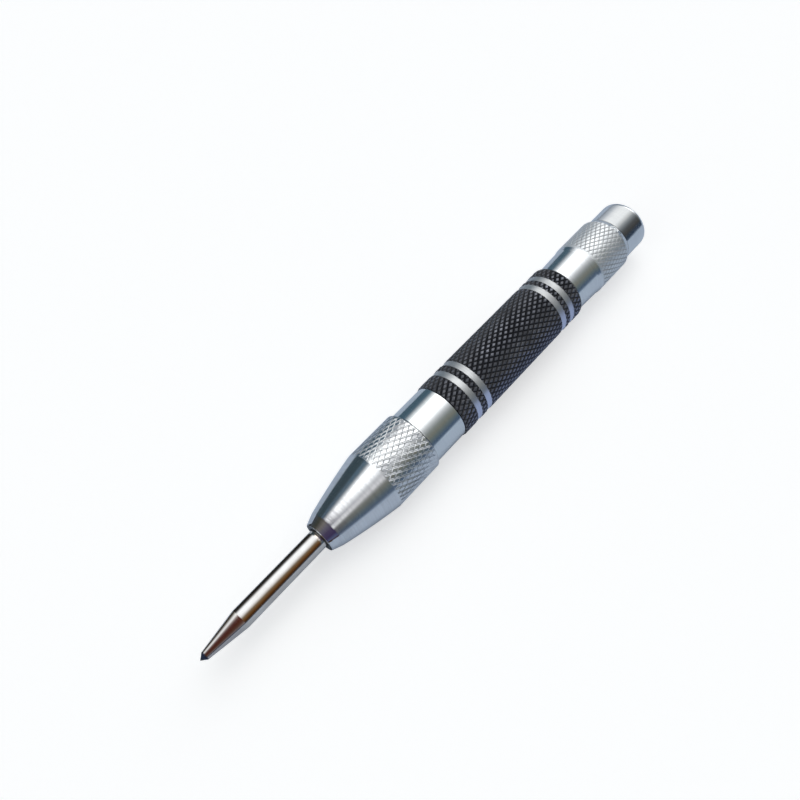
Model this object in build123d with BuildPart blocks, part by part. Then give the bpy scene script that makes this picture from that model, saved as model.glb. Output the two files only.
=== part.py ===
from build123d import *

import os
from math import atan2, cos, degrees, radians, sin

# Automatic (spring-loaded) center punch, lying on its side.
# The tool's axis runs along X, with the point towards -X and the tail towards +X, and +Z is up.
# The origin is under the middle of the tool's length, on the surface that it lies on.
# Every "station" below is a distance in millimetres along the axis, measured from the point's tip.

# ---- driving dimensions: the outside ----
overall_length = 130.0
pin_diameter = 4.1
nose_knurl_diameter = 13.7
collar_diameter = 12.6
grip_diameter = 13.1
tail_knurl_diameter = 12.8
tail_end_diameter = 11.5

# ---- driving dimensions: the mechanism ----
stroke = 8.0  # how far the pin goes in before the hammer is let go
stem_tilt = 3.0  # degrees that the trip stem leans off the axis at rest
slide_clearance = 0.10  # radial, hammer in the barrel
pin_clearance = 0.07  # radial, pin in the nose cone
thread_clearance = 0.05  # radial, both threads of the barrel
end_gap = 0.10  # between end faces that only just meet

# ---- stations of the outer shape ----
taper_end = 9.4
nose_face = 29.2
nose_bevel_end = 31.4
nose_knurl_start = 44.3
nose_rear = 55.6
grip_front = 64.3
grip_rear = 103.7
tail_neck_end = 110.6
tail_knurl_start = 111.7
tail_knurl_end = 121.2
tail_shoulder_end = 122.6

# ---- radii worked out from the driving dimensions ----
pin_radius = pin_diameter / 2
nose_radius = nose_knurl_diameter / 2
collar_radius = collar_diameter / 2
grip_radius = grip_diameter / 2
tail_knurl_radius = tail_knurl_diameter / 2
tail_end_radius = tail_end_diameter / 2
axis_height = nose_radius

# ---- the punch pin ----
point_base_radius = 0.87
point_length = 1.05
pin_head_station = 38.0
pin_head_length = 3.0
pin_head_radius = 3.0
pin_rear = pin_head_station + pin_head_length
edge_break = 0.15

# ---- the nose cone ----
nose_face_radius = 3.3
nose_bevel_radius = 4.15
nose_cone_bulge = 0.15  # how far the cone's side stands out from a straight line
nose_cavity_radius = 3.3
nose_bore_radius = pin_radius + pin_clearance
nose_thread_station = 46.5
nose_thread_radius = 5.4
nose_chamfer = 0.45

# ---- the barrel ----
chamber_radius = 3.9
spring_ledge = 55.9
throat_lead_in = 1.0
throat_radius = 2.1
hammer_bore_station = 57.6
hammer_bore_radius = 4.5
core_radius = 5.75
tail_thread_station = 94.0
tail_thread_radius = 5.0
collar_chamfer = 0.2

# ---- the grip sleeve ----
sleeve_rounding = 0.6

# ---- the trip stem ----
stem_ball_radius = 1.5
stem_collar_radius = 2.9
stem_collar_start = 45.0
stem_collar_end = 47.0
stem_neck_radius = 1.95
stem_neck_end = 50.0
stem_neck_cone = 0.8
stem_tip_radius = 1.1
stem_tip_station = 57.3

# ---- the hammer ----
hammer_radius = hammer_bore_radius - slide_clearance
hammer_end = 73.6
hammer_hole_radius = 1.3
hammer_hole_depth = 9.0
hammer_chamfer = 0.5
pilot_radius = 2.45
pilot_length = 3.0

# ---- the tail cap and the spring seat ----
neck_front_radius = 5.95
neck_rear_radius = 6.2
cap_stub_station = 96.0
cap_bore_radius = 3.9
cap_bore_end = 118.0
seat_thickness = 1.5
seat_radius = 3.7
seat_pilot_length = 2.0
tail_rounding = 1.3

# ---- the springs ----
main_wire_radius = 0.5
main_mean_radius = 3.15
main_turns = 21
return_wire_radius = 0.25
return_small_radius = 2.7
return_large_radius = 3.45
return_turns = 5

# ---- planes and axes ----
tip_x = -overall_length / 2
tool_axis = Axis((tip_x, 0, axis_height), (1, 0, 0))
# A sketch on side_plane has x = station and y = distance from the tool's axis.
side_plane = Plane(origin=(tip_x, 0, axis_height), x_dir=(1, 0, 0), z_dir=(0, -1, 0))

# The trip stem leans sideways, towards +Y, about the centre of its ball end.
ball_centre = (tip_x + pin_rear, 0, axis_height)
stem_direction = (cos(radians(stem_tilt)), sin(radians(stem_tilt)), 0)
stem_axis = Axis(ball_centre, stem_direction)
stem_plane = Plane(origin=ball_centre, x_dir=stem_direction, z_dir=(0, 0, 1))

os.makedirs("parts", exist_ok=True)


# ---- punch pin: hardened steel, with a head that the nose cone holds back ----
with BuildPart() as punch_pin:
    with BuildSketch(side_plane):
        with BuildLine():
            Polyline(
                (0, 0),
                (point_length, point_base_radius),
                (taper_end, pin_radius),
                (pin_head_station, pin_radius),
                (pin_head_station, pin_head_radius),
                (pin_rear, pin_head_radius),
                (pin_rear, 0),
                close=True,
            )
        make_face()
    revolve(axis=tool_axis)
    head_edges = punch_pin.edges().filter_by(GeomType.CIRCLE)
    chamfer(head_edges.filter_by(lambda edge: edge.radius > pin_radius + edge_break), edge_break)
    # the cup that the trip stem's ball end sits in
    with BuildSketch(side_plane):
        with BuildLine():
            Polyline(
                (pin_rear - stem_ball_radius - end_gap, 0),
                (pin_rear - stem_ball_radius - end_gap, stem_ball_radius + 2 * end_gap),
                (pin_rear, stem_ball_radius + 2 * end_gap),
                (pin_rear, 0),
                close=True,
            )
        make_face()
    revolve(axis=tool_axis, mode=Mode.SUBTRACT)
punch_pin.part.label = "punch_pin"


# ---- nose cone: aluminium, bored for the pin and threaded on to the barrel ----
with BuildPart() as nose_cone:
    with BuildSketch(side_plane):
        with BuildLine():
            Line((nose_face, nose_bore_radius), (nose_face, nose_face_radius))
            Line((nose_face, nose_face_radius), (nose_bevel_end, nose_bevel_radius))
            ThreePointArc(
                (nose_bevel_end, nose_bevel_radius),
                (
                    (nose_bevel_end + nose_knurl_start) / 2,
                    (nose_bevel_radius + nose_radius) / 2 + nose_cone_bulge,
                ),
                (nose_knurl_start, nose_radius),
            )
            Polyline(
                (nose_knurl_start, nose_radius),
                (nose_rear - nose_chamfer, nose_radius),
                (nose_rear, nose_radius - nose_chamfer),
                (nose_rear, nose_thread_radius),
                (nose_thread_station, nose_thread_radius),
                (nose_thread_station, nose_cavity_radius),
                (pin_head_station - end_gap, nose_cavity_radius),
                (pin_head_station - end_gap, nose_bore_radius),
                (nose_face, nose_bore_radius),
            )
        make_face()
    revolve(axis=tool_axis)
    face_rim = nose_cone.faces().sort_by(Axis.X)[0].edges().filter_by(GeomType.CIRCLE)
    chamfer(face_rim, edge_break)
nose_cone.part.label = "nose_cone"


# ---- barrel: aluminium tube with a thread at each end and the throat that straightens the stem ----
with BuildPart() as barrel:
    with BuildSketch(side_plane):
        with BuildLine():
            Polyline(
                (nose_thread_station, chamber_radius),
                (nose_thread_station, nose_thread_radius - thread_clearance),
                (nose_rear, nose_thread_radius - thread_clearance),
                (nose_rear, collar_radius - collar_chamfer),
                (nose_rear + collar_chamfer, collar_radius),
                (grip_front - collar_chamfer, collar_radius),
                (grip_front, collar_radius - collar_chamfer),
                (grip_front, core_radius),
                (grip_rear, core_radius),
                (grip_rear, tail_thread_radius),
                (tail_thread_station, tail_thread_radius),
                (tail_thread_station, hammer_bore_radius),
                (hammer_bore_station, hammer_bore_radius),
                (hammer_bore_station, throat_radius),
                (spring_ledge + throat_lead_in, throat_radius),
                (spring_ledge, throat_radius + throat_lead_in),
                (spring_ledge, chamber_radius),
                close=True,
            )
        make_face()
    revolve(axis=tool_axis)
barrel.part.label = "barrel"


# ---- grip sleeve: black, pressed over the barrel's core ----
with BuildPart() as grip_sleeve:
    with BuildSketch(side_plane):
        with BuildLine():
            Polyline(
                (grip_front, core_radius),
                (grip_front, grip_radius - edge_break),
                (grip_front + edge_break, grip_radius),
                (grip_rear - sleeve_rounding, grip_radius),
            )
            RadiusArc(
                (grip_rear - sleeve_rounding, grip_radius),
                (grip_rear, grip_radius - sleeve_rounding),
                sleeve_rounding,
            )
            Polyline(
                (grip_rear, grip_radius - sleeve_rounding),
                (grip_rear, core_radius),
                (grip_front, core_radius),
            )
        make_face()
    revolve(axis=tool_axis)
grip_sleeve.part.label = "grip_sleeve"


# ---- trip stem: ball end in the pin, collar for the return spring, thin end behind the hammer ----
def along_stem(station, radius):
    """A point of the stem's profile, from its station and its distance from the stem's own axis."""
    return (station - pin_rear, radius)


with BuildPart() as trip_stem:
    with BuildSketch(stem_plane):
        with BuildLine():
            ThreePointArc(
                (-stem_ball_radius, 0),
                (-stem_ball_radius * cos(radians(45)), stem_ball_radius * sin(radians(45))),
                (0, stem_ball_radius),
            )
            Polyline(
                (0, stem_ball_radius),
                along_stem(stem_collar_start, stem_ball_radius),
                along_stem(stem_collar_start, stem_collar_radius),
                along_stem(stem_collar_end, stem_collar_radius),
                along_stem(stem_collar_end, stem_neck_radius),
                along_stem(stem_neck_end - stem_neck_cone, stem_neck_radius),
                along_stem(stem_neck_end, stem_tip_radius + edge_break),
                along_stem(stem_neck_end, stem_tip_radius),
                along_stem(stem_tip_station - edge_break, stem_tip_radius),
                along_stem(stem_tip_station, stem_tip_radius - edge_break),
                along_stem(stem_tip_station, 0),
                (-stem_ball_radius, 0),
            )
        make_face()
    revolve(axis=stem_axis)
trip_stem.part.label = "trip_stem"


# ---- hammer: steel slug with the hole that drops over the stem's thin end ----
with BuildPart() as hammer:
    with BuildSketch(side_plane):
        with BuildLine():
            Polyline(
                (hammer_bore_station + end_gap, 0),
                (hammer_bore_station + end_gap, hammer_radius),
                (hammer_end, hammer_radius),
                (hammer_end, pilot_radius),
                (hammer_end + pilot_length, pilot_radius),
                (hammer_end + pilot_length, 0),
                close=True,
            )
        make_face()
    revolve(axis=tool_axis)
    hammer_rims = hammer.edges().filter_by(GeomType.CIRCLE)
    chamfer(hammer_rims.filter_by(lambda edge: edge.radius > pilot_radius + edge_break), hammer_chamfer)
    chamfer(hammer.edges().sort_by(Axis.X)[-1], hammer_chamfer)
    hammer_face = Plane(
        origin=(tip_x + hammer_bore_station + end_gap, 0, axis_height), z_dir=(-1, 0, 0)
    )
    with Locations(hammer_face):
        Hole(hammer_hole_radius, depth=hammer_hole_depth)
hammer.part.label = "hammer"


# ---- spring seat: steel washer with a pilot, which lets the tail cap turn without winding the spring ----
seat_front = cap_bore_end - end_gap - seat_thickness
with BuildPart() as spring_seat:
    with BuildSketch(side_plane):
        with BuildLine():
            Polyline(
                (seat_front - seat_pilot_length, 0),
                (seat_front - seat_pilot_length, pilot_radius),
                (seat_front, pilot_radius),
                (seat_front, seat_radius),
                (seat_front + seat_thickness, seat_radius),
                (seat_front + seat_thickness, 0),
                close=True,
            )
        make_face()
    revolve(axis=tool_axis)
    chamfer(spring_seat.edges().sort_by(Axis.X)[0], hammer_chamfer)
spring_seat.part.label = "spring_seat"


# ---- tail cap: threaded stub, flaring neck, knurled ring and smooth end in one piece ----
with BuildPart() as tail_cap:
    with BuildSketch(side_plane):
        with BuildLine():
            Polyline(
                (cap_stub_station, cap_bore_radius),
                (cap_stub_station, tail_thread_radius - thread_clearance),
                (grip_rear + end_gap, tail_thread_radius - thread_clearance),
                (grip_rear + end_gap, neck_front_radius),
                (tail_neck_end, neck_rear_radius),
                (tail_knurl_start, tail_knurl_radius),
                (tail_knurl_end, tail_knurl_radius),
                (tail_shoulder_end, tail_end_radius),
                (overall_length - tail_rounding, tail_end_radius),
            )
            RadiusArc(
                (overall_length - tail_rounding, tail_end_radius),
                (overall_length, tail_end_radius - tail_rounding),
                tail_rounding,
            )
            Polyline(
                (overall_length, tail_end_radius - tail_rounding),
                (overall_length, 0),
                (cap_bore_end, 0),
                (cap_bore_end, cap_bore_radius),
                (cap_stub_station, cap_bore_radius),
            )
        make_face()
    revolve(axis=tool_axis)
tail_cap.part.label = "tail_cap"


# ---- main spring: between the hammer and the spring seat ----
def station_point(station, radius=0.0):
    """A point at a station, straight out from the tool's axis by the radius."""
    return (tip_x + station, 0, axis_height + radius)


main_front = hammer_end + main_wire_radius + end_gap
main_rear = seat_front - main_wire_radius - end_gap
with BuildPart() as main_spring:
    with BuildLine() as main_coil:
        Helix(
            pitch=(main_rear - main_front) / main_turns,
            height=main_rear - main_front,
            radius=main_mean_radius,
            center=station_point(main_front),
            direction=(1, 0, 0),
        )
    with BuildSketch(Plane(origin=main_coil.line @ 0, z_dir=main_coil.line % 0)):
        Circle(main_wire_radius)
    sweep(path=main_coil.line, is_frenet=True)
main_spring.part.label = "main_spring"


# ---- return spring: conical, between the stem's collar and the barrel's ledge ----
return_front = stem_collar_end + return_wire_radius + 2 * end_gap
return_rear = spring_ledge - return_wire_radius - end_gap
return_length = return_rear - return_front
with BuildPart() as return_spring:
    with BuildLine() as return_coil:
        Helix(
            pitch=return_length / return_turns,
            height=return_length,
            radius=return_small_radius,
            center=station_point(return_front),
            direction=(1, 0, 0),
            cone_angle=degrees(atan2(return_large_radius - return_small_radius, return_length)),
        )
    with BuildSketch(Plane(origin=return_coil.line @ 0, z_dir=return_coil.line % 0)):
        Circle(return_wire_radius)
    sweep(path=return_coil.line, is_frenet=True)
return_spring.part.label = "return_spring"


# ---- files: one STEP file per piece, named by its label ----
pieces = (
    punch_pin,
    nose_cone,
    barrel,
    grip_sleeve,
    trip_stem,
    return_spring,
    hammer,
    main_spring,
    spring_seat,
    tail_cap,
)
for piece in pieces:
    export_step(piece.part, f"parts/{piece.part.label}.step")
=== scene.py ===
import math

import bmesh
import bpy
import numpy as np
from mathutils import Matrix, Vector


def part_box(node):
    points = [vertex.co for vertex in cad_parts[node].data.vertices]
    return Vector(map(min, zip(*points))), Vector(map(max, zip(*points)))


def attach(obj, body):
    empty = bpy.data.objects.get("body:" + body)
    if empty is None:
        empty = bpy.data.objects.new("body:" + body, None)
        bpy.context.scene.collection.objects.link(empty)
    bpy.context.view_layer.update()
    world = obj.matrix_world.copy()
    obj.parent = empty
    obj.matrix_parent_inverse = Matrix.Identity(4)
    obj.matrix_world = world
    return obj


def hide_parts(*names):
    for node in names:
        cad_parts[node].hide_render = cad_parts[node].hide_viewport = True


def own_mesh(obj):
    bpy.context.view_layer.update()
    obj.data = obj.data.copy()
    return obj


# Looks for the automatic center punch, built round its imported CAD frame.
# Places along the tool are "stations": millimetres from the point's tip, along the axis, which runs along X.
# A "turn" is an angle round that axis as a share of a full circle.

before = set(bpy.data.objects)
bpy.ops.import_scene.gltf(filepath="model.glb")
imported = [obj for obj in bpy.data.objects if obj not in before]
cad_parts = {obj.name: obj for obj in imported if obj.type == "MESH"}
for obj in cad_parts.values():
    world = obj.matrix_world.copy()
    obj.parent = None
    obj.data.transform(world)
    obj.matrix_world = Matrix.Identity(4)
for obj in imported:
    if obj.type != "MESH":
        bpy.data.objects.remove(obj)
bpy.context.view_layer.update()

MM = 0.001


# ---- places read from the frame ----
def box_radius(cad_node):
    """Half the height of a round CAD node, in millimetres."""
    low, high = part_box(cad_node)
    return (high.z - low.z) / 2 / MM


def end_stations(cad_node):
    """The stations of a CAD node's front and rear ends."""
    low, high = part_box(cad_node)
    return (low.x - tip_x) / MM, (high.x - tip_x) / MM


tip_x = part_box("punch_pin")[0].x
axis_z = sum(corner.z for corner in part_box("nose_cone")) / 2
pin_rear = end_stations("punch_pin")[1]
nose_face, nose_rear = end_stations("nose_cone")
barrel_front = end_stations("barrel")[0]
grip_front, grip_rear = end_stations("grip_sleeve")
stub_front, tail_end = end_stations("tail_cap")
pin_head_radius = box_radius("punch_pin")
nose_radius = box_radius("nose_cone")
collar_radius = box_radius("barrel")
grip_radius = box_radius("grip_sleeve")
tail_knurl_radius = box_radius("tail_cap")
tool_length = tail_end * MM

# ---- shape values that the frame's boxes don't give, in millimetres ----
pin_radius = 2.05
pin_columns = 128
point_length = 1.05
point_radius = 0.87
taper_end = 9.4
pin_head_station = 38.0
pin_head_gap = 0.1
ball_cup_radius = 1.7
ball_cup_depth = 1.6
pin_bore_radius = 2.12
bore_chamfer = 0.35
nose_face_radius = 3.3
bevel_end = 31.4
bevel_radius = 4.15
cone_bulge = 0.15
cone_end = 44.3
nose_knurl_front = 44.45
nose_chamfer = 0.2
nose_cavity_radius = 3.3
nose_thread_radius = 5.4
thread_clearance = 0.05
collar_edge = 0.2
barrel_columns = 160
core_radius = 5.75
chamber_radius = 3.9
spring_ledge = 55.9
throat_radius = 2.1
throat_lead_in = 1.0
hammer_bore_station = 57.6
hammer_bore_radius = 4.5
tail_thread_station = 94.0
tail_thread_radius = 5.0
tail_thread_pitch = 1.0
tail_thread_depth = 0.5
neck_front = 103.8
neck_front_radius = 5.95
neck_end = 110.6
neck_rear_radius = 6.2
tail_knurl_start = 111.7
tail_knurl_end = 121.2
shoulder_end = 122.6
tail_end_radius = 5.75
tail_rounding = 1.3
cap_bore_radius = 3.9
cap_bore_end = 118.0
bare_bands = ((67.95, 69.4), (71.05, 72.5), (96.4, 97.9), (99.3, 100.8))
bare_band_depth = 0.12
edge = 0.08  # the small rounding that every machined edge has
step = 0.02  # the length of the steep side of a band or of a knurl's front
uncut = 1e3  # a relief's radius where it cuts nothing
sharp_degrees = 24  # edges that bend by more than this stay crisp


# ---- mesh building ----
def axis_distance(point):
    """A point's distance from the tool's axis, in metres."""
    return math.hypot(point.y, point.z - axis_z)


def rounded(points):
    """The polyline with each corner turned into a small curve, no larger than its sides allow. A long side
    gets a point close to each corner, which keeps the smooth shading's change of direction near it."""
    steps = 3
    largest_share = 0.4
    long_side = 6
    points = [np.array(point, float) for point in points]
    out = [points[0]]
    for before, corner, after in zip(points, points[1:], points[2:]):
        back, ahead = before - corner, after - corner
        reach = min(edge, largest_share * np.hypot(*back), largest_share * np.hypot(*ahead))
        start = corner + back / np.hypot(*back) * reach
        end = corner + ahead / np.hypot(*ahead) * reach
        if np.hypot(*back) > long_side * reach:
            out.append(corner + back / np.hypot(*back) * 2 * reach)
        for s in np.linspace(0, 1, steps + 1):
            out.append((1 - s) ** 2 * start + 2 * s * (1 - s) * corner + s**2 * end)
        if np.hypot(*ahead) > long_side * reach:
            out.append(corner + ahead / np.hypot(*ahead) * 2 * reach)
    out.append(points[-1])
    return out


def bulged(start, end, rise, steps):
    """Points from start to end on a shallow curve that stands out from the straight line by rise."""
    start, end = np.array(start, float), np.array(end, float)
    along = end - start
    outward = np.array([-along[1], along[0]]) / np.hypot(*along)
    return [start + s * along + 4 * rise * s * (1 - s) * outward for s in np.linspace(0, 1, steps + 1)]


def quarter_round(start, end):
    """Points on a quarter circle that leaves start along the axis and reaches end straight inwards."""
    steps = 8
    (x0, r0), (x1, r1) = start, end
    angles = np.linspace(0, math.pi / 2, steps + 1)
    return [(x0 + (x1 - x0) * math.sin(a), r1 + (r0 - r1) * math.cos(a)) for a in angles]


def filled(points, spacing, first, last):
    """The polyline with extra rows between two stations, on a lattice that starts at the first one."""
    lattice = np.arange(first, last + spacing / 2, spacing)
    out = [np.array(points[0], float)]
    for point in points[1:]:
        before, point = out[-1], np.array(point, float)
        length = point[0] - before[0]
        if length > 0:
            for station in lattice:
                if before[0] + spacing / 4 < station < point[0] - spacing / 4:
                    out.append(before + (point - before) * (station - before[0]) / length)
        out.append(point)
    return out


def lathe(name, points, columns, relief=None, hollow=False):
    """A turned mesh with a row of vertices at each (station, radius) point. A relief cuts it back to its
    own radius and says how high each place stands and which way its grooves lean. A hollow piece's last row
    joins its first."""
    points = np.array(points)
    turns = np.arange(columns) / columns
    stations = np.repeat(points[:, :1], columns, axis=1)
    radii = np.repeat(points[:, 1:], columns, axis=1)
    height = np.ones_like(radii)
    if relief:
        cut_radius, cut_height, _ = relief(stations, turns)
        height = np.where(cut_radius < radii, cut_height, 1.0)
        radii = np.minimum(radii, cut_radius)
    x = tip_x + stations * MM
    y = radii * np.cos(math.tau * turns) * MM
    z = axis_z + radii * np.sin(math.tau * turns) * MM
    rows = len(points)
    faces, face_stations = [], []
    for row in range(rows if hollow else rows - 1):
        following = (row + 1) % rows
        middle = (points[row, 0] + points[following, 0]) / 2
        leans = np.zeros(columns)
        if relief and points[following, 0] > points[row, 0]:
            cut_radius, _, leans = relief(np.full(columns, middle), turns + 0.5 / columns)
            leans = np.where(cut_radius < max(points[row, 1], points[following, 1]), leans, 0)
        for column in range(columns):
            beside = (column + 1) % columns
            a, b = row * columns + column, row * columns + beside
            c, d = following * columns + beside, following * columns + column
            if points[row, 1] == 0:
                made = [(a, c, d)]
            elif points[following, 1] == 0:
                made = [(a, b, c)]
            elif leans[column] > 0:
                made = [(a, b, d), (b, c, d)]
            elif leans[column] < 0:
                made = [(a, b, c), (a, c, d)]
            else:
                made = [(a, b, c, d)]
            faces += made
            face_stations += [middle] * len(made)
    mesh = bpy.data.meshes.new(name)
    mesh.from_pydata(np.stack([x, y, z], axis=-1).reshape(-1, 3).tolist(), [], faces)
    heights = mesh.attributes.new("height", "FLOAT", "POINT")
    heights.data.foreach_set("value", height.astype(np.float32).ravel())
    stations_by_face = mesh.attributes.new("station", "FLOAT", "FACE")
    stations_by_face.data.foreach_set("value", np.array(face_stations, np.float32))
    return finished(mesh)


def finished(mesh):
    """Welds the poles, turns the normals outwards, shades the mesh smooth with crisp edges and makes its
    object."""
    work = bmesh.new()
    work.from_mesh(mesh)
    bmesh.ops.remove_doubles(work, verts=work.verts, dist=1e-8)
    bmesh.ops.recalc_face_normals(work, faces=work.faces)
    work.to_mesh(mesh)
    work.free()
    mesh.shade_smooth()
    mesh.set_sharp_from_angle(angle=math.radians(sharp_degrees))
    piece = bpy.data.objects.new(mesh.name, mesh)
    bpy.context.scene.collection.objects.link(piece)
    return piece


def wander(station, turn, seed):
    """A slow, smooth variation between about -1 and 1 over a piece's surface, the same in every run."""
    waves = 6
    draw = np.random.default_rng(seed)
    total = 0
    for _ in range(waves):
        around, along, phase = draw.integers(1, 6), draw.uniform(-0.35, 0.35), draw.uniform(0, math.tau)
        total = total + np.sin(math.tau * around * turn + along * station + phase)
    return total / 4


def diamond_knurl(crest, depth, count, length, start, shape, shares, uneven, seed, falling=(0.0,)):
    """A relief of two crossing families of grooves. Count is the number of diamonds round the tool and
    length that of each one. Crest gives the surface's radius at a station, and shape its height by the
    distance from a groove's middle, in groove spacings. Shares gives how deep each family is at a station,
    and falling the offsets of the second family's grooves, more than one where the tool cut twice. Uneven
    is how much the depth varies slowly."""
    distances, heights = np.array(shape).T

    def relief(station, turn):
        p = count * turn
        q = (station - start) / length
        slow = uneven * wander(station, turn, seed)
        rising_share, falling_share = shares(station)
        cut, lip = 0, 0
        nearest = []
        for family, offsets, share in ((p + q, (0.0,), rising_share), (p - q, falling, falling_share)):
            spacing_share = np.minimum.reduce([np.abs(family + o - np.round(family + o)) for o in offsets])
            offset = share * (np.interp(spacing_share, distances, heights) - 1)
            cut = np.minimum(cut, offset)
            lip = np.maximum(lip, offset)
            nearest.append(spacing_share)
        level = (cut + lip) * (1 + slow)
        return crest(station) + depth * level, 1 + level, np.where(nearest[0] < nearest[1], 1, -1)

    return relief


def screw_thread(crest, depth, pitch, start, end):
    """A relief of a single-start thread between two stations, with flat crests and roots."""
    crest_half, root_half = 0.12, 0.06  # half the width of a crest and of a root, in pitches
    places = (0, crest_half, 0.5 - root_half, 0.5 + root_half, 1 - crest_half, 1)

    def relief(station, turn):
        place = (station / pitch - turn) % 1
        height = np.interp(place, places, (1, 1, 0, 0, 1, 1))
        inside = (station > start) & (station < end)
        return np.where(inside, crest - depth * (1 - height), uncut), height, 0 * place

    return relief


def joined_reliefs(*reliefs):
    """The relief that has each one's cuts."""

    def relief(station, turn):
        results = [one(station, turn) for one in reliefs]
        radius, height, lean = results[0]
        for other_radius, other_height, other_lean in results[1:]:
            deeper = other_radius < radius
            height = np.where(deeper, other_height, height)
            lean = np.where(deeper, other_lean, lean)
            radius = np.where(deeper, other_radius, radius)
        return radius, height, lean

    return relief


def between(relief, first, last):
    """The relief kept to the stations between first and last."""

    def kept(station, turn):
        radius, height, lean = relief(station, turn)
        inside = (station >= first) & (station <= last)
        return np.where(inside, radius, uncut), np.where(inside, height, 1), np.where(inside, lean, 0)

    return kept


# ---- node helpers ----
def node(tree, kind, values=None, links=None, **options):
    """Adds a node: values and links go to its inputs, by name or number, and options are its own settings."""
    made = tree.nodes.new("ShaderNode" + kind)
    for key, value in options.items():
        setattr(made, key, value)
    for key, value in (values or {}).items():
        made.inputs[key].default_value = value
    for key, socket in (links or {}).items():
        tree.links.new(socket, made.inputs[key])
    return made


def math_node(tree, operation, first, second):
    """The result of a math node. Each input is a number or a socket."""
    made = node(tree, "Math", operation=operation)
    for index, value in enumerate((first, second)):
        if isinstance(value, (int, float)):
            made.inputs[index].default_value = value
        else:
            tree.links.new(value, made.inputs[index])
    return made.outputs[0]


def ramped(tree, factor, low, high, to_low, to_high):
    """The factor mapped from one range to another, and held inside it."""
    values = {"From Min": low, "From Max": high, "To Min": to_low, "To Max": to_high}
    return node(tree, "MapRange", values, {"Value": factor}).outputs["Result"]


def mixed(tree, factor, first, second):
    """Two colours mixed by the factor. Each colour is a socket or three numbers."""
    made = node(tree, "Mix", data_type="RGBA", links={"Factor": factor})
    for name, colour in (("A", first), ("B", second)):
        socket = next(s for s in made.inputs if s.name == name and s.type == "RGBA")
        if isinstance(colour, tuple):
            socket.default_value = (*colour, 1)
        else:
            tree.links.new(colour, socket)
    return next(s for s in made.outputs if s.type == "RGBA")


def new_material(name, metallic):
    """A material with its tree, its shader and a socket that gives the place on the tool, from a point on
    its axis."""
    material = bpy.data.materials.new(name)
    material.use_nodes = True
    tree = material.node_tree
    shader = tree.nodes["Principled BSDF"]
    shader.inputs["Metallic"].default_value = metallic
    place = node(tree, "TexCoord").outputs["Object"]
    centred = node(tree, "Mapping", {"Location": (0, 0, -axis_z)}, {"Vector": place}).outputs["Vector"]
    return material, tree, shader, centred


def turning_lines(tree, centred, spacing):
    """Fine lathe lines round the tool's axis, about one in each spacing (in millimetres), from 0 to 1."""
    drift = 0.02  # how fast a line changes on its way round the tool, beside its change across
    parts = node(tree, "SeparateXYZ", links={"Vector": centred}).outputs
    across = node(tree, "CombineXYZ", links={"Y": parts["Y"], "Z": parts["Z"]}).outputs["Vector"]
    radius = node(tree, "VectorMath", links={0: across}, operation="LENGTH").outputs["Value"]
    along = math_node(tree, "ADD", parts["X"], radius)
    scale = 1 / (spacing * MM)
    vector = node(
        tree,
        "CombineXYZ",
        links={
            "X": math_node(tree, "MULTIPLY", along, scale),
            "Y": math_node(tree, "MULTIPLY", parts["Y"], scale * drift),
            "Z": math_node(tree, "MULTIPLY", parts["Z"], scale * drift),
        },
    ).outputs["Vector"]
    values = {"Scale": 1, "Detail": 3, "Roughness": 0.6}
    return node(tree, "TexNoise", values, {"Vector": vector}).outputs["Fac"]


def blotches(tree, centred, size, detail=3):
    """Soft patches of about the size in millimetres, from 0 to 1."""
    values = {"Scale": 1 / (size * MM), "Detail": detail, "Roughness": 0.55}
    return node(tree, "TexNoise", values, {"Vector": centred}).outputs["Fac"]


def bumped(tree, shader, heights, depth):
    """Joins a bump of the depth in millimetres to the shader."""
    values = {"Strength": 1.0, "Distance": depth * MM}
    bump = node(tree, "Bump", values, {"Height": heights})
    tree.links.new(bump.outputs["Normal"], shader.inputs["Normal"])


def shade_at_seams(tree, centred, seams):
    """How much painted shade darkens the seams: each seam's own strength at its station, and none a little
    way off.
    """
    shaded_width, unshaded_width = 0.06 * MM, 0.2 * MM
    x = node(tree, "SeparateXYZ", links={"Vector": centred}).outputs["X"]
    total = 0.0
    for station, strength in seams:
        off = math_node(tree, "ABSOLUTE", math_node(tree, "SUBTRACT", x, tip_x + station * MM), 0.0)
        total = math_node(tree, "ADD", total, ramped(tree, off, shaded_width, unshaded_width, strength, 0))
    return total


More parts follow.
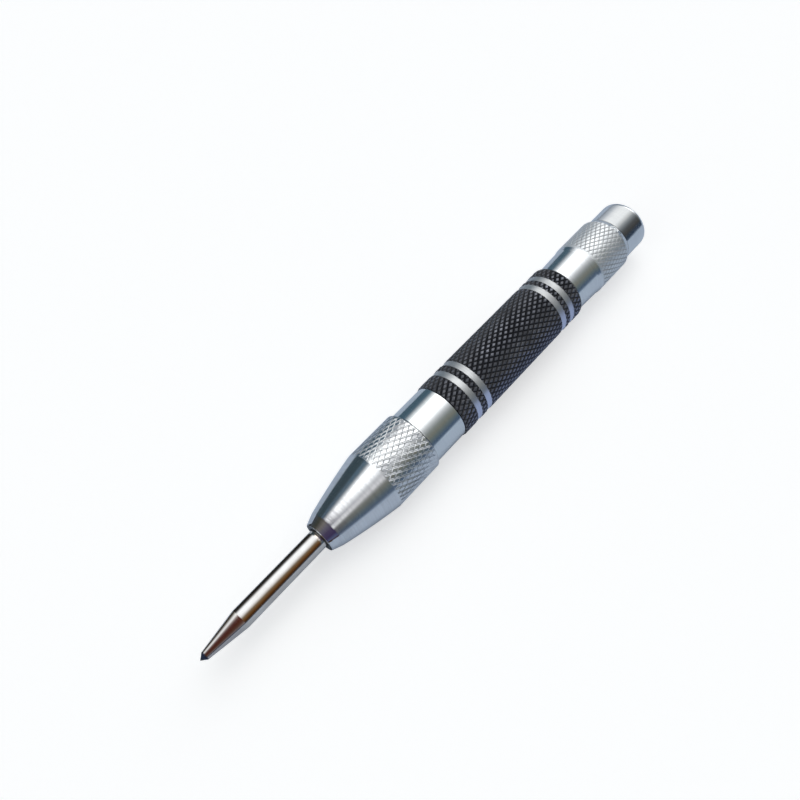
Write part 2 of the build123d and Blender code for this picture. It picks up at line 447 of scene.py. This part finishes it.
def turned_metal(name, light, dark, roughness, line_spacing, line_depth, groove_shade=None, seams=(), zone=None):
    """Turned metal: lathe lines, patches of duller and brighter finish, specks, and painted shade in the
    knurl's grooves and at the seams. The zone's roughness is multiplied: its values are its first and last
    station and the factor."""
    material, tree, shader, centred = new_material(name, 1.0)
    lines = turning_lines(tree, centred, line_spacing)
    patches = blotches(tree, centred, 6.0)
    specks = blotches(tree, centred, 0.35, detail=2)
    tone = math_node(tree, "MULTIPLY", lines, 0.5)
    tone = math_node(tree, "ADD", tone, math_node(tree, "MULTIPLY", patches, 0.5))
    colour = mixed(tree, ramped(tree, tone, 0.36, 0.62, 0, 1), dark, light)
    spots = ramped(tree, specks, 0.70, 0.76, 0, 0.35)
    colour = mixed(tree, spots, colour, dark)
    rough = ramped(tree, tone, 0.35, 0.65, roughness * 1.25, roughness * 0.8)
    if groove_shade:
        height = node(tree, "Attribute", attribute_name="height").outputs["Fac"]
        # Painted shade: the knurl's grooves are darkened towards the groove shade colour.
        colour = mixed(tree, ramped(tree, height, 0.05, 0.75, 0, 1), groove_shade, colour)
        rough = math_node(tree, "ADD", rough, ramped(tree, height, 0.1, 0.9, 0.18, 0))
    if zone:
        first, last, factor = zone
        fade = 0.2
        x = node(tree, "SeparateXYZ", links={"Vector": centred}).outputs["X"]
        entering = ramped(tree, x, tip_x + (first - fade) * MM, tip_x + first * MM, 0, 1)
        leaving = ramped(tree, x, tip_x + (last - fade / 2) * MM, tip_x + (last + fade / 2) * MM, 1, 0)
        inside = math_node(tree, "MULTIPLY", entering, leaving)
        rough = math_node(tree, "MULTIPLY", rough, ramped(tree, inside, 0, 1, 1, factor))
    if seams:
        # Painted shade: a dark line at each seam, where shade falls between parts and at the tail's shoulder
        # step.
        seam_shade = shade_at_seams(tree, centred, seams)
        colour = mixed(tree, seam_shade, colour, (0.05, 0.05, 0.055))
    tree.links.new(colour, shader.inputs["Base Color"])
    tree.links.new(rough, shader.inputs["Roughness"])
    bumped(tree, shader, lines, line_depth)
    return material


def pin_steel():
    """Polished hardened steel with fine grinding lines, darker on the taper and blue-black on the point."""
    taper_from, taper_to = (taper_end + 0.6) * MM, (taper_end - 1.4) * MM
    point_from, point_to = (point_length + 0.22) * MM, (point_length - 0.02) * MM
    wobble_reach = 0.12 * MM
    material, tree, shader, centred = new_material("polished_pin_steel", 1.0)
    lines = turning_lines(tree, centred, 0.12)
    patches = blotches(tree, centred, 3.0)
    colour = mixed(tree, ramped(tree, patches, 0.35, 0.65, 0, 1), (0.76, 0.67, 0.60), (0.86, 0.78, 0.71))
    x = node(tree, "SeparateXYZ", links={"Vector": centred}).outputs["X"]
    station = math_node(tree, "SUBTRACT", x, tip_x)
    taper = ramped(tree, station, taper_from, taper_to, 0, 1)
    colour = mixed(tree, taper, colour, (0.64, 0.57, 0.53))
    wobble = ramped(tree, patches, 0.3, 0.7, -wobble_reach, wobble_reach)
    edge_place = math_node(tree, "ADD", station, wobble)
    point = ramped(tree, edge_place, point_from, point_to, 0, 1)
    colour = mixed(tree, point, colour, (0.035, 0.045, 0.085))
    rough = ramped(tree, lines, 0.3, 0.7, 0.16, 0.08)
    rough = math_node(tree, "ADD", rough, math_node(tree, "MULTIPLY", point, 0.2))
    tree.links.new(colour, shader.inputs["Base Color"])
    tree.links.new(rough, shader.inputs["Roughness"])
    bumped(tree, shader, lines, 0.0015)
    return material


def black_anodised():
    """Black anodised aluminium: dull in the grooves, rubbed smoother and to greyer metal on the knurl's
    crests."""
    material, tree, shader, centred = new_material("black_anodised_knurl", 0.0)
    height = node(tree, "Attribute", attribute_name="height").outputs["Fac"]
    patches = blotches(tree, centred, 4.0)
    grain = blotches(tree, centred, 0.15, detail=2)
    crests = ramped(tree, height, 0.7, 1.0, 0, 1)
    rubbed = math_node(tree, "MULTIPLY", crests, ramped(tree, patches, 0.3, 0.7, 0.25, 1))
    black = mixed(tree, patches, (0.006, 0.006, 0.009), (0.014, 0.015, 0.022))
    colour = mixed(tree, rubbed, black, (0.225, 0.23, 0.265))
    colour = mixed(tree, ramped(tree, grain, 0.66, 0.74, 0, 0.3), colour, (0.10, 0.10, 0.11))
    tree.links.new(colour, shader.inputs["Base Color"])
    tree.links.new(ramped(tree, rubbed, 0, 1, 0.50, 0.23), shader.inputs["Roughness"])
    tree.links.new(ramped(tree, rubbed, 0, 1, 0, 0.8), shader.inputs["Metallic"])
    bumped(tree, shader, grain, 0.004)
    return material


aluminium = turned_metal(
    "turned_aluminium",
    light=(0.90, 0.90, 0.91),
    dark=(0.74, 0.74, 0.76),
    roughness=0.18,
    line_spacing=0.3,
    line_depth=0.006,
    # painted shade in the nose knurl's grooves
    groove_shade=(0.25, 0.25, 0.26),
    # painted shade at this seam, with its strength
    seams=((nose_rear, 0.85),),
    zone=(nose_face, bevel_end, 0.35),
)
collar_finish = turned_metal(
    "bright_collar",
    light=(0.93, 0.94, 0.94),
    dark=(0.86, 0.88, 0.89),
    roughness=0.13,
    line_spacing=0.3,
    line_depth=0.0012,
    # painted shade at these seams, with their strengths
    seams=((nose_rear, 0.85), (grip_front, 0.85)),
)
tail_finish = turned_metal(
    "bright_tail",
    light=(0.92, 0.93, 0.94),
    dark=(0.84, 0.85, 0.87),
    roughness=0.16,
    line_spacing=0.25,
    line_depth=0.0015,
    # painted shade in the tail knurl's grooves
    groove_shade=(0.58, 0.58, 0.59),
    # painted shade at the tail's front seam and at its shoulder step, with their strengths
    seams=((neck_front, 0.85), (shoulder_end, 0.45)),
    zone=(tail_knurl_start, tail_knurl_end, 2.6),
)
band_finish = turned_metal(
    "bare_band",
    light=(0.70, 0.70, 0.70),
    dark=(0.57, 0.57, 0.58),
    roughness=0.46,
    line_spacing=0.14,
    line_depth=0.004,
)
# Painted shade: a near-black finish for the pin's bore and the inner part of the nose face, where shade falls
# round the pin.
painted_bore_shade = turned_metal(
    "painted_shade_bore",
    light=(0.10, 0.10, 0.10),
    dark=(0.03, 0.03, 0.03),
    roughness=0.35,
    line_spacing=0.15,
    line_depth=0.002,
)
tool_steel = turned_metal(
    "ground_tool_steel",
    light=(0.62, 0.61, 0.60),
    dark=(0.46, 0.45, 0.45),
    roughness=0.24,
    line_spacing=0.2,
    line_depth=0.002,
)
spring_wire = turned_metal(
    "drawn_spring_wire",
    light=(0.50, 0.50, 0.52),
    dark=(0.32, 0.32, 0.34),
    roughness=0.30,
    line_spacing=0.1,
    line_depth=0.002,
)
pin_finish = pin_steel()
grip_finish = black_anodised()


def in_place(piece, body, nodes, slot, *materials):
    """Puts a new piece on its body, in place of its CAD nodes, with its materials."""
    for material in materials:
        piece.data.materials.append(material)
    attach(piece, body)
    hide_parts(*nodes)


# ---- punch pin ----
pin_points = rounded(
    [
        (0, 0),
        (point_length, point_radius),
        (taper_end, pin_radius),
        (pin_head_station, pin_radius),
        (pin_head_station, pin_head_radius),
        (pin_rear, pin_head_radius),
        (pin_rear, ball_cup_radius),
        (pin_rear - ball_cup_depth, ball_cup_radius),
        (pin_rear - ball_cup_depth, 0),
    ]
)
punch = lathe("pin_polished", pin_points, pin_columns)
in_place(punch, "pin", ["punch_pin"], "hardened_steel", pin_finish)

# ---- nose cone ----
nose_count = 38
nose_cell = 2.1
nose_steps = 12  # the mesh's steps across each diamond
groove_half = 1 / nose_steps  # in groove spacings
burr_height = 1.18  # of the burr beside each groove, where a crest's height is 1
burr_room = 0.02  # what keeps the burrs inside the nose's own radius
nose_relief = between(
    diamond_knurl(
        crest=lambda station: nose_radius - burr_room,
        depth=0.05,
        count=nose_count,
        length=nose_cell,
        start=nose_knurl_front,
        shape=((0, 0), (groove_half, burr_height), (2 * groove_half, 1.0), (0.5, 1.0)),
        shares=lambda station: (0.7, 1.0),
        uneven=0.6,
        seed=11,
        falling=(0.0, 0.25),
    ),
    nose_knurl_front,
    nose_rear,
)
nose_outside = rounded(
    [
        (nose_face + bore_chamfer, pin_bore_radius),
        (nose_face, pin_bore_radius + bore_chamfer),
        (nose_face, nose_face_radius),
        (bevel_end, bevel_radius),
        *bulged((bevel_end, bevel_radius), (cone_end, nose_radius), cone_bulge, 10)[1:],
        (nose_knurl_front - 2 * step, nose_radius),
        (nose_rear - nose_chamfer, nose_radius),
        (nose_rear, nose_radius - nose_chamfer),
        (nose_rear, nose_thread_radius),
        (barrel_front, nose_thread_radius),
        (barrel_front, nose_cavity_radius),
        (pin_head_station - pin_head_gap, nose_cavity_radius),
        (pin_head_station - pin_head_gap, pin_bore_radius),
    ]
)
nose_points = filled(nose_outside, nose_cell / nose_steps, nose_knurl_front, nose_rear)
nose = lathe("nose_knurled", nose_points, nose_steps * nose_count, nose_relief, hollow=True)
in_place(nose, "casing", ["nose_cone"], "satin_aluminium", aluminium, painted_bore_shade)
# Faces closer to the axis than this take the painted bore shade.
bore_shade_radius = (nose_face_radius - 0.1) * MM
for polygon in nose.data.polygons:
    polygon.material_index = int(axis_distance(polygon.center) < bore_shade_radius)

# ---- barrel ----
barrel_points = rounded(
    [
        (barrel_front, chamber_radius),
        (barrel_front, nose_thread_radius - thread_clearance),
        (nose_rear, nose_thread_radius - thread_clearance),
        (nose_rear, collar_radius - collar_edge),
        (nose_rear + collar_edge, collar_radius),
        (grip_front - collar_edge, collar_radius),
        (grip_front, collar_radius - collar_edge),
        (grip_front, core_radius),
        (grip_rear, core_radius),
        (grip_rear, tail_thread_radius),
        (tail_thread_station, tail_thread_radius),
        (tail_thread_station, hammer_bore_radius),
        (hammer_bore_station, hammer_bore_radius),
        (hammer_bore_station, throat_radius),
        (spring_ledge + throat_lead_in, throat_radius),
        (spring_ledge, throat_radius + throat_lead_in),
        (spring_ledge, chamber_radius),
    ]
)
body_tube = lathe("barrel_collar", barrel_points, barrel_columns, hollow=True)
in_place(body_tube, "casing", ["barrel"], "satin_aluminium", collar_finish)

# ---- grip sleeve ----
grip_count = 34
grip_cell = 1.97
grip_steps = 8
grip_edge = 0.15
grip_rounding = 0.6
bare_radius = grip_radius - bare_band_depth
grip_outside = [
    (grip_front, core_radius),
    (grip_front, grip_radius - grip_edge),
    (grip_front + grip_edge, grip_radius),
]
for band_start, band_end in bare_bands:
    grip_outside += [
        (band_start, grip_radius),
        (band_start + step, bare_radius),
        (band_end - step, bare_radius),
        (band_end, grip_radius),
    ]
grip_outside += [
    *quarter_round((grip_rear - grip_rounding, grip_radius), (grip_rear, grip_radius - grip_rounding)),
    (grip_rear, core_radius),
]
grip_points = filled(grip_outside, grip_cell / grip_steps, grip_front, grip_rear)
grip_knurl = diamond_knurl(
    crest=lambda station: grip_radius,
    depth=0.30,
    count=grip_count,
    length=grip_cell,
    start=grip_front,
    shape=((0, 0), (0.25, 1.0), (0.5, 1.0)),
    shares=lambda station: (1.0, np.interp(station, (grip_front, bare_bands[1][1]), (0.3, 0.75))),
    uneven=0.15,
    seed=5,
)


def on_bare_band(station):
    """Whether a station is on a bare band."""
    margin = step / 2
    return sum((station > start + margin) & (station < end - margin) for start, end in bare_bands) > 0


def grip_relief(station, turn):
    """The grip's knurl, left out on the bare bands."""
    radius, height, lean = grip_knurl(station, turn)
    bare = on_bare_band(station)
    return np.where(bare, uncut, radius), np.where(bare, 1, height), np.where(bare, 0, lean)


grip = lathe("grip_knurled", grip_points, grip_steps * grip_count, grip_relief, hollow=True)
in_place(grip, "casing", ["grip_sleeve"], "black_anodised", grip_finish, band_finish)
face_stations = np.zeros(len(grip.data.polygons), np.float32)
grip.data.attributes["station"].data.foreach_get("value", face_stations)
outside_radius = (core_radius + 0.05) * MM
for polygon, station in zip(grip.data.polygons, face_stations):
    outside = axis_distance(polygon.center) > outside_radius
    polygon.material_index = int(outside and on_bare_band(station))

# ---- tail cap ----
tail_count = 36
tail_cell = 1.88
tail_steps = 8
tail_fade_length = 0.8
tail_last_share = 0.2
stub_radius = tail_thread_radius - thread_clearance
stub_chamfer = 0.4
thread_start = stub_front + 0.6
thread_end = neck_front - 0.5
thread_rows_end = neck_front - 0.4


def tail_crest(station):
    """The radius of the knurled ring, whose grooves run on down the shoulder behind it."""
    return np.interp(station, (tail_knurl_end, shoulder_end), (tail_knurl_radius, tail_end_radius))


def tail_fade(station):
    """How deep the ring's grooves are: they fade in and out at its ends."""
    places = (tail_knurl_start, tail_knurl_start + tail_fade_length, tail_knurl_end, shoulder_end)
    return np.interp(station, places, (0, 1, 1, tail_last_share))


tail_knurl = between(
    diamond_knurl(
        crest=tail_crest,
        depth=0.06,
        count=tail_count,
        length=tail_cell,
        start=tail_knurl_start,
        shape=((0, 0), (0.125, 0.55), (0.25, 0.9), (0.5, 1.0)),
        shares=lambda station: (0.8 * tail_fade(station), tail_fade(station)),
        uneven=0.3,
        seed=23,
    ),
    tail_knurl_start,
    shoulder_end,
)
tail_thread = screw_thread(stub_radius, tail_thread_depth, tail_thread_pitch, thread_start, thread_end)
tail_outside = rounded(
    [
        (stub_front, cap_bore_radius),
        (stub_front, stub_radius - stub_chamfer),
        (stub_front + stub_chamfer, stub_radius),
        (neck_front, stub_radius),
        (neck_front, neck_front_radius),
        (neck_end, neck_rear_radius),
        (tail_knurl_start, tail_knurl_radius),
        (tail_knurl_end, tail_knurl_radius),
        (shoulder_end, tail_end_radius),
        (tail_end - tail_rounding, tail_end_radius),
    ]
)
tail_outside += [
    *quarter_round((tail_end - tail_rounding, tail_end_radius), (tail_end, tail_end_radius - tail_rounding)),
    (tail_end, 0),
]
tail_inside = [(cap_bore_end, 0), (cap_bore_end, cap_bore_radius)]
tail_points = filled(tail_outside, tail_thread_pitch / tail_steps, thread_start, thread_rows_end)
tail_points = filled(tail_points, tail_cell / tail_steps, tail_knurl_start - tail_cell, shoulder_end)
tail_points += tail_inside
tail_relief = joined_reliefs(tail_knurl, tail_thread)
tail = lathe("tail_knurled", tail_points, tail_steps * tail_count, tail_relief, hollow=True)
in_place(tail, "cap", ["tail_cap"], "satin_aluminium", tail_finish)


# ---- springs ----
def coil(name, first, last, first_radius, last_radius, wire, turns, closed_turns):
    """A coil spring between two stations, with closed end turns that lie against each other. Its radii are
    those of its middle line, and wire is the wire's radius."""
    steps_per_turn, sides = 40, 14
    steps = int(round(turns * steps_per_turn))
    turn = np.linspace(0, turns, steps + 1)
    share = np.clip((turn - closed_turns) / (turns - 2 * closed_turns), 0, 1)
    front_closed = np.minimum(turn, closed_turns) * 2 * wire
    rear_closed = np.maximum(turn - (turns - closed_turns), 0) * 2 * wire
    open_length = last - first - 2 * wire - 4 * wire * closed_turns
    station = first + wire + front_closed + share * open_length + rear_closed
    mean = first_radius + (last_radius - first_radius) * turn / turns
    vertices = []
    for s, m, t in zip(station, mean, turn):
        for side in range(sides):
            around = math.tau * side / sides
            radius = m + wire * math.cos(around)
            vertices.append(
                (
                    tip_x + (s + wire * math.sin(around)) * MM,
                    radius * math.cos(math.tau * t) * MM,
                    axis_z + radius * math.sin(math.tau * t) * MM,
                )
            )
    faces = [tuple(range(sides)), tuple(steps * sides + side for side in range(sides))]
    for ring in range(steps):
        for side in range(sides):
            beside = (side + 1) % sides
            a, b = ring * sides + side, ring * sides + beside
            faces.append((a, b, b + sides, a + sides))
    mesh = bpy.data.meshes.new(name)
    mesh.from_pydata(vertices, [], faces)
    return finished(mesh)


def squashed_spring(spring, node_name, body):
    """A spring put on its body in place of its CAD node, in spring wire, with a mesh of its own."""
    in_place(spring, body, [node_name], "spring_steel", spring_wire)
    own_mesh(spring)


main_front, main_rear = end_stations("main_spring")
main_spring = coil(
    "main_spring_wire",
    main_front,
    main_rear,
    first_radius=3.15,
    last_radius=3.15,
    wire=0.5,
    turns=22,
    closed_turns=1.2,
)
squashed_spring(main_spring, "main_spring", "seat")

return_front, return_rear = end_stations("return_spring")
return_spring = coil(
    "return_spring_wire",
    return_front,
    return_rear,
    first_radius=2.7,
    last_radius=3.45,
    wire=0.25,
    turns=6,
    closed_turns=0.8,
)
squashed_spring(return_spring, "return_spring", "casing")

# ---- carried-over CAD nodes ----
for name in ("trip_stem", "hammer", "spring_seat"):
    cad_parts[name].data.materials.clear()
    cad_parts[name].data.materials.append(tool_steel)


# ---- floor ----
def floor_material():
    """A pale floor that looks lavender-grey where the metal mirrors it."""
    material = bpy.data.materials.new("pale_floor")
    material.use_nodes = True
    tree = material.node_tree
    tree.nodes.clear()
    mirrored = node(tree, "LightPath").outputs["Is Glossy Ray"]
    colour = mixed(tree, mirrored, (0.58, 0.58, 0.58), (0.53, 0.61, 0.73))
    diffuse = node(tree, "BsdfDiffuse", links={"Color": colour}).outputs["BSDF"]
    glow = node(tree, "Emission", {"Color": (0.60, 0.60, 0.60, 1)}).outputs["Emission"]
    lit = node(tree, "AddShader", links={0: diffuse, 1: glow}).outputs["Shader"]
    chosen = node(tree, "MixShader", links={0: mirrored, 1: lit, 2: diffuse}).outputs["Shader"]
    node(tree, "OutputMaterial", links={"Surface": chosen})
    return material


floor_reach = 12 * tool_length
floor_mesh = bpy.data.meshes.new("floor")
corners = [(x * floor_reach, y * floor_reach, 0) for x, y in ((-1, -1), (1, -1), (1, 1), (-1, 1))]
floor_mesh.from_pydata(corners, [], [(0, 1, 2, 3)])
floor_mesh.materials.append(floor_material())
floor = bpy.data.objects.new("floor", floor_mesh)
bpy.context.scene.collection.objects.link(floor)


# ---- light ----
def plain(colour, *tilts):
    """One colour at several tilts, for a card."""
    return tuple((tilt, colour) for tilt in tilts)


def card(name, stations, distances, glows):
    """A glowing card bent round the tool, which only the metal's reflections show. Distances are
    millimetres from the tool's axis, at its two end stations. Glows are its colours by the tilt in degrees
    from straight up towards -Y."""
    vertices, faces, colours = [], [], []
    for index, (degrees, colour) in enumerate(glows):
        tilt = math.radians(degrees)
        for station, distance in zip(stations, distances):
            y, z = -distance * math.sin(tilt), distance * math.cos(tilt)
            vertices.append((tip_x + station * MM, y * MM, axis_z + z * MM))
            colours += [*colour, 1]
        if index:
            faces.append((2 * index - 2, 2 * index - 1, 2 * index + 1, 2 * index))
    mesh = bpy.data.meshes.new(name)
    mesh.from_pydata(vertices, [], faces)
    mesh.attributes.new("glow", "FLOAT_COLOR", "POINT").data.foreach_set("color", colours)
    material = bpy.data.materials.new(name)
    material.use_nodes = True
    tree = material.node_tree
    tree.nodes.clear()
    colour = node(tree, "Attribute", attribute_name="glow").outputs["Color"]
    glow = node(tree, "Emission", links={"Color": colour}).outputs["Emission"]
    node(tree, "OutputMaterial", links={"Surface": glow})
    mesh.materials.append(material)
    made = bpy.data.objects.new(name, mesh)
    made.visible_camera = False
    made.visible_diffuse = False
    made.visible_shadow = False
    bpy.context.scene.collection.objects.link(made)


# Far cards: the tool's far edge mirrors a dark one, greyer on the cone than behind it, and the cone mirrors a
# narrow bright strip too. The taper, the pin, the bevel, the tail end and the grip's near side each have a
# card close by.
far_distances = (48, 48)
grey_dark = (0.038, 0.061, 0.074)
blue_dark = (0.055, 0.100, 0.135)
cone_stations = (-60, 54)
rear_stations = (54, tail_end + 60)
card("cone_dark_card", cone_stations, far_distances, plain(grey_dark, -90, -70, -50))
card("far_dark_card", rear_stations, far_distances, plain(blue_dark, -95, -84, -72))
card(
    "cone_strip_card",
    cone_stations,
    far_distances,
    (
        (17, (0.52, 0.53, 0.55)),
        (23, (0.64, 0.65, 0.67)),
        (30, (0.80, 0.81, 0.83)),
        (35, (0.48, 0.49, 0.49)),
        (40, (0.22, 0.23, 0.22)),
    ),
)
pin_distances = (5.5, 5.5)
taper_card_end = taper_end + 0.1
pin_card_end = nose_face - 0.2
card(
    "taper_card",
    (-4, taper_card_end),
    pin_distances,
    (
        (-100, (0.03, 0.03, 0.025)),
        (-72, (0.08, 0.075, 0.06)),
        (-58, (0.45, 0.50, 0.52)),
        (-46, (1.10, 1.22, 1.30)),
        (-33, (1.10, 1.22, 1.30)),
        (-24, (0.57, 0.57, 0.60)),
        (-14, (0.25, 0.20, 0.20)),
        (-3, (0.12, 0.055, 0.050)),
        (14, (0.088, 0.023, 0.015)),
        (30, (0.095, 0.034, 0.020)),
        (46, (0.12, 0.070, 0.057)),
        (66, (0.22, 0.205, 0.22)),
    ),
)
card(
    "pin_card",
    (taper_card_end, pin_card_end),
    pin_distances,
    (
        (-105, (0.012, 0.012, 0.010)),
        (-64, (0.020, 0.020, 0.018)),
        (-52, (0.20, 0.22, 0.24)),
        (-42, (0.85, 0.95, 1.05)),
        (-30, (1.20, 1.35, 1.50)),
        (-5, (1.10, 1.24, 1.36)),
        (7, (0.82, 0.88, 0.95)),
        (16, (0.48, 0.49, 0.47)),
        (24, (0.20, 0.158, 0.11)),
        (38, (0.15, 0.080, 0.029)),
        (48, (0.11, 0.048, 0.013)),
        (56, (0.05, 0.022, 0.006)),
        (68, (0.055, 0.038, 0.028)),
    ),
)
card(
    "bevel_card",
    (pin_card_end, bevel_end - 0.2),
    (3.6, 4.7),
    (
        (-46, (0.065, 0.075, 0.095)),
        (-33, (0.045, 0.052, 0.050)),
        (-20, (0.053, 0.055, 0.044)),
        (-4, (0.160, 0.148, 0.138)),
        (9, (0.112, 0.105, 0.140)),
        (22, (0.063, 0.049, 0.098)),
        (38, (0.044, 0.034, 0.085)),
        (50, (0.090, 0.115, 0.205)),
    ),
)
card(
    "tail_card",
    (shoulder_end + 1.2, tail_end + 3),
    (9, 9),
    (
        (-70, (0.19, 0.22, 0.26)),
        (-49, (0.46, 0.50, 0.54)),
        (-37, (0.75, 0.77, 0.78)),
        (-25, (0.88, 0.90, 0.90)),
        (-2, (0.86, 0.88, 0.88)),
        (8, (0.58, 0.60, 0.60)),
        (16, (0.28, 0.30, 0.31)),
        (24, (0.135, 0.15, 0.16)),
        (32, (0.070, 0.074, 0.076)),
        (44, (0.046, 0.046, 0.045)),
        (55, (0.026, 0.042, 0.068)),
        (61, (0.026, 0.042, 0.068)),
        (64, (0.060, 0.090, 0.14)),
    ),
)
card(
    "grip_card",
    (grip_front + 2, grip_rear + 2),
    (9, 9),
    (
        (57, (0.12, 0.15, 0.20)),
        *plain((0.35, 0.44, 0.69), 66, 95, 125),
    ),
)

# The sky's colours by the tilt in degrees from straight up towards -Y, like long lamps beside the tool.
sky_glows = (
    (-100, (0.08, 0.13, 0.18)),
    (-70, (0.065, 0.115, 0.155)),
    (-61, (0.40, 0.43, 0.46)),
    (-50, (0.90, 0.94, 0.95)),
    (-42, (1.65, 1.69, 1.69)),
    (-12, (1.65, 1.69, 1.69)),
    (2, (1.25, 1.28, 1.30)),
    (14, (0.64, 0.66, 0.68)),
    (25, (0.37, 0.39, 0.40)),
    (37, (0.20, 0.22, 0.21)),
    (50, (0.165, 0.17, 0.145)),
    (62, (0.11, 0.14, 0.145)),
    (76, (0.06, 0.095, 0.15)),
    (83, (0.06, 0.095, 0.15)),
    (90, (0.39, 0.47, 0.58)),
)


def studio_sky(glows):
    """The world. Reflections show the sky's colours, with the far lamp narrower towards -X and a dark gap
    across all of them further on. The camera sees a plain pale backdrop."""
    gap_colour = (0.07, 0.06, 0.09)
    backdrop_colour = (0.93, 0.93, 0.94)
    wide_x, narrow_x, narrowest = 0.36, 0, 1.8
    gap_near, gap_far = (-0.30, -0.24), (-0.46, -0.54)
    world = bpy.data.worlds.new("soft_studio")
    bpy.context.scene.world = world
    world.use_nodes = True
    tree = world.node_tree
    generated = node(tree, "TexCoord").outputs["Generated"]
    direction = node(tree, "SeparateXYZ", links={"Vector": generated}).outputs
    tilt = math_node(tree, "ARCTAN2", math_node(tree, "MULTIPLY", direction["Y"], -1.0), direction["Z"])
    narrowing = ramped(tree, direction["X"], wide_x, narrow_x, 1.0, narrowest)
    far_tilt = math_node(tree, "MULTIPLY", math_node(tree, "MINIMUM", tilt, 0.0), narrowing)
    tilt = math_node(tree, "ADD", math_node(tree, "MAXIMUM", tilt, 0.0), far_tilt)
    ramp = node(tree, "ValToRGB", links={"Fac": ramped(tree, tilt, -math.pi, math.pi, 0, 1)})
    elements = ramp.color_ramp.elements
    elements.remove(elements[1])
    for index, (degrees, colour) in enumerate(glows):
        place = (degrees + 180) / 360
        element = elements[0] if index == 0 else elements.new(place)
        element.position = place
        element.color = (*colour, 1)
    outside_gap = math_node(
        tree,
        "MAXIMUM",
        ramped(tree, direction["X"], *gap_near, 0, 1),
        ramped(tree, direction["X"], *gap_far, 0, 1),
    )
    lamps = mixed(tree, outside_gap, gap_colour, ramp.outputs["Color"])
    seen = node(tree, "LightPath").outputs["Is Camera Ray"]
    sky = mixed(tree, seen, lamps, backdrop_colour)
    tree.links.new(sky, tree.nodes["Background"].inputs["Color"])


studio_sky(sky_glows)

# ---- camera ----
view_azimuth = math.radians(-48.48)
view_elevation = math.radians(61.64)
view_distance = 1.2082 * tool_length
aim = Vector((-0.0325 * tool_length, 0.0618 * tool_length, axis_z))
back = Vector(
    (
        math.sin(view_azimuth) * math.cos(view_elevation),
        -math.cos(view_azimuth) * math.cos(view_elevation),
        math.sin(view_elevation),
    )
)
camera_data = bpy.data.cameras.new("camera")
camera_data.lens = 34.87
camera_data.clip_start = 0.01
camera = bpy.data.objects.new("camera", camera_data)
camera.location = aim + view_distance * back
camera.rotation_euler = (-back).to_track_quat("-Z", "Y").to_euler()
bpy.context.scene.collection.objects.link(camera)
bpy.context.scene.camera = camera
bpy.context.scene.view_settings.view_transform = "Standard"
